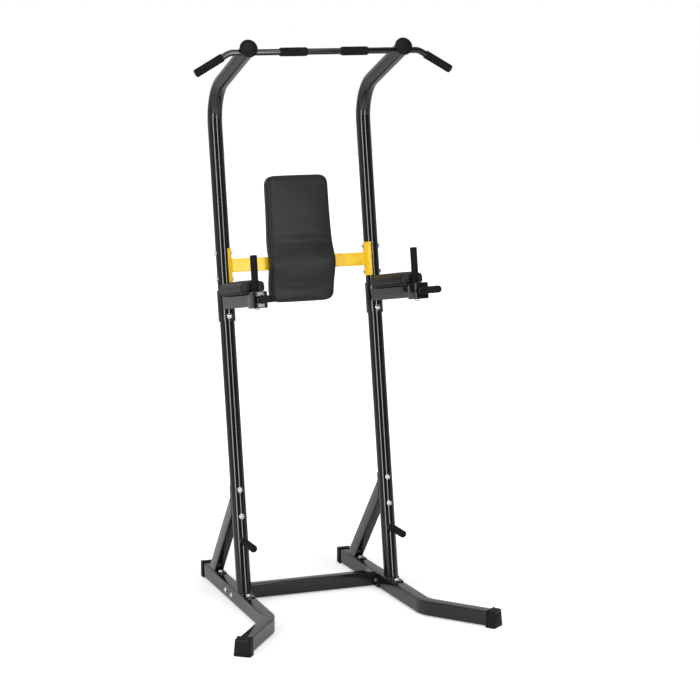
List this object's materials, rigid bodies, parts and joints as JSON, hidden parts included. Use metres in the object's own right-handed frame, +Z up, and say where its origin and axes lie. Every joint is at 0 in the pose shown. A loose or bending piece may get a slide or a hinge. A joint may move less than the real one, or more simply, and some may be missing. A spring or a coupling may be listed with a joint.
{
  "type": "power tower",
  "caption": "Free-standing gym tower of leaning tube uprights on splayed legs, with a pull-up bar across the top, forearm arms with dip handles, a backrest pad and foot pegs.",
  "frame": {"origin": "on the floor, at the middle of the bounding box's base: midway between the two legs and midway between the front and rear foot caps", "axes": "+Z up; -Y towards the user's side, where the legs splay and the arms and the pull-up bar reach out; +X to the right of someone who looks from the front (-Y) towards +Y; the frame mirrors across X = 0"},
  "size_m": [1.1294, 1.1712, 2.3148],
  "materials": {
    "black_steel": "gloss black powder coat",
    "yellow_steel": "gloss yellow powder coat",
    "zinc": "bright zinc plate",
    "cap_plastic": "moulded, fine satin",
    "grip_rubber": "ribbed, matte",
    "pad_vinyl": "grained synthetic leather over foam, satin",
    "board_wood": "black-stained plywood"
  },
  "bodies": {
    "root": {"arm_left": "black_steel", "arm_right": "black_steel", "backrest_crossbar": "yellow_steel", "backrest_pad": "pad_vinyl", "bar_end_grip_left": "grip_rubber", "bar_end_grip_right": "grip_rubber", "bar_grip_left": "grip_rubber", "bar_grip_right": "grip_rubber", "base_bolt_left": "zinc", "base_bolt_right": "zinc", "beam_bolt_front_left": "zinc", "beam_bolt_front_right": "zinc", "beam_bolt_rear_left": "zinc", "beam_bolt_rear_right": "zinc", "brace_bolt_high_left": "zinc", "brace_bolt_high_right": "zinc", "brace_bolt_low_left": "zinc", "brace_bolt_low_right": "zinc", "brace_foot_bolt_left": "zinc", "brace_foot_bolt_right": "zinc", "cross_beam": "black_steel", "crossbar_bolt_high_left": "zinc", "crossbar_bolt_high_right": "zinc", "crossbar_bolt_low_left": "zinc", "crossbar_bolt_low_right": "zinc", "dip_grip_left": "grip_rubber", "dip_grip_right": "grip_rubber", "elbow_board_left": "board_wood", "elbow_board_right": "board_wood", "elbow_pad_left": "pad_vinyl", "elbow_pad_right": "pad_vinyl", "front_foot_cap_left": "cap_plastic", "front_foot_cap_right": "cap_plastic", "handle_head_left": "black_steel", "handle_head_right": "black_steel", "head_bolt_left": "zinc", "head_bolt_right": "zinc", "leg_left": "black_steel", "leg_right": "black_steel", "lower_upright_left": "black_steel", "lower_upright_right": "black_steel", "peg_grip_left": "grip_rubber", "peg_grip_right": "grip_rubber", "pull_up_bar": "black_steel", "rear_brace_left": "black_steel", "rear_brace_right": "black_steel", "rear_foot_cap_left": "cap_plastic", "rear_foot_cap_right": "cap_plastic", "sleeve_bolt_left": "zinc", "sleeve_bolt_right": "zinc", "top_cap_left": "cap_plastic", "top_cap_right": "cap_plastic", "upper_upright_left": "black_steel", "upper_upright_right": "black_steel", "upright_grip_left": "grip_rubber", "upright_grip_right": "grip_rubber"}
  },
  "joints": []
}
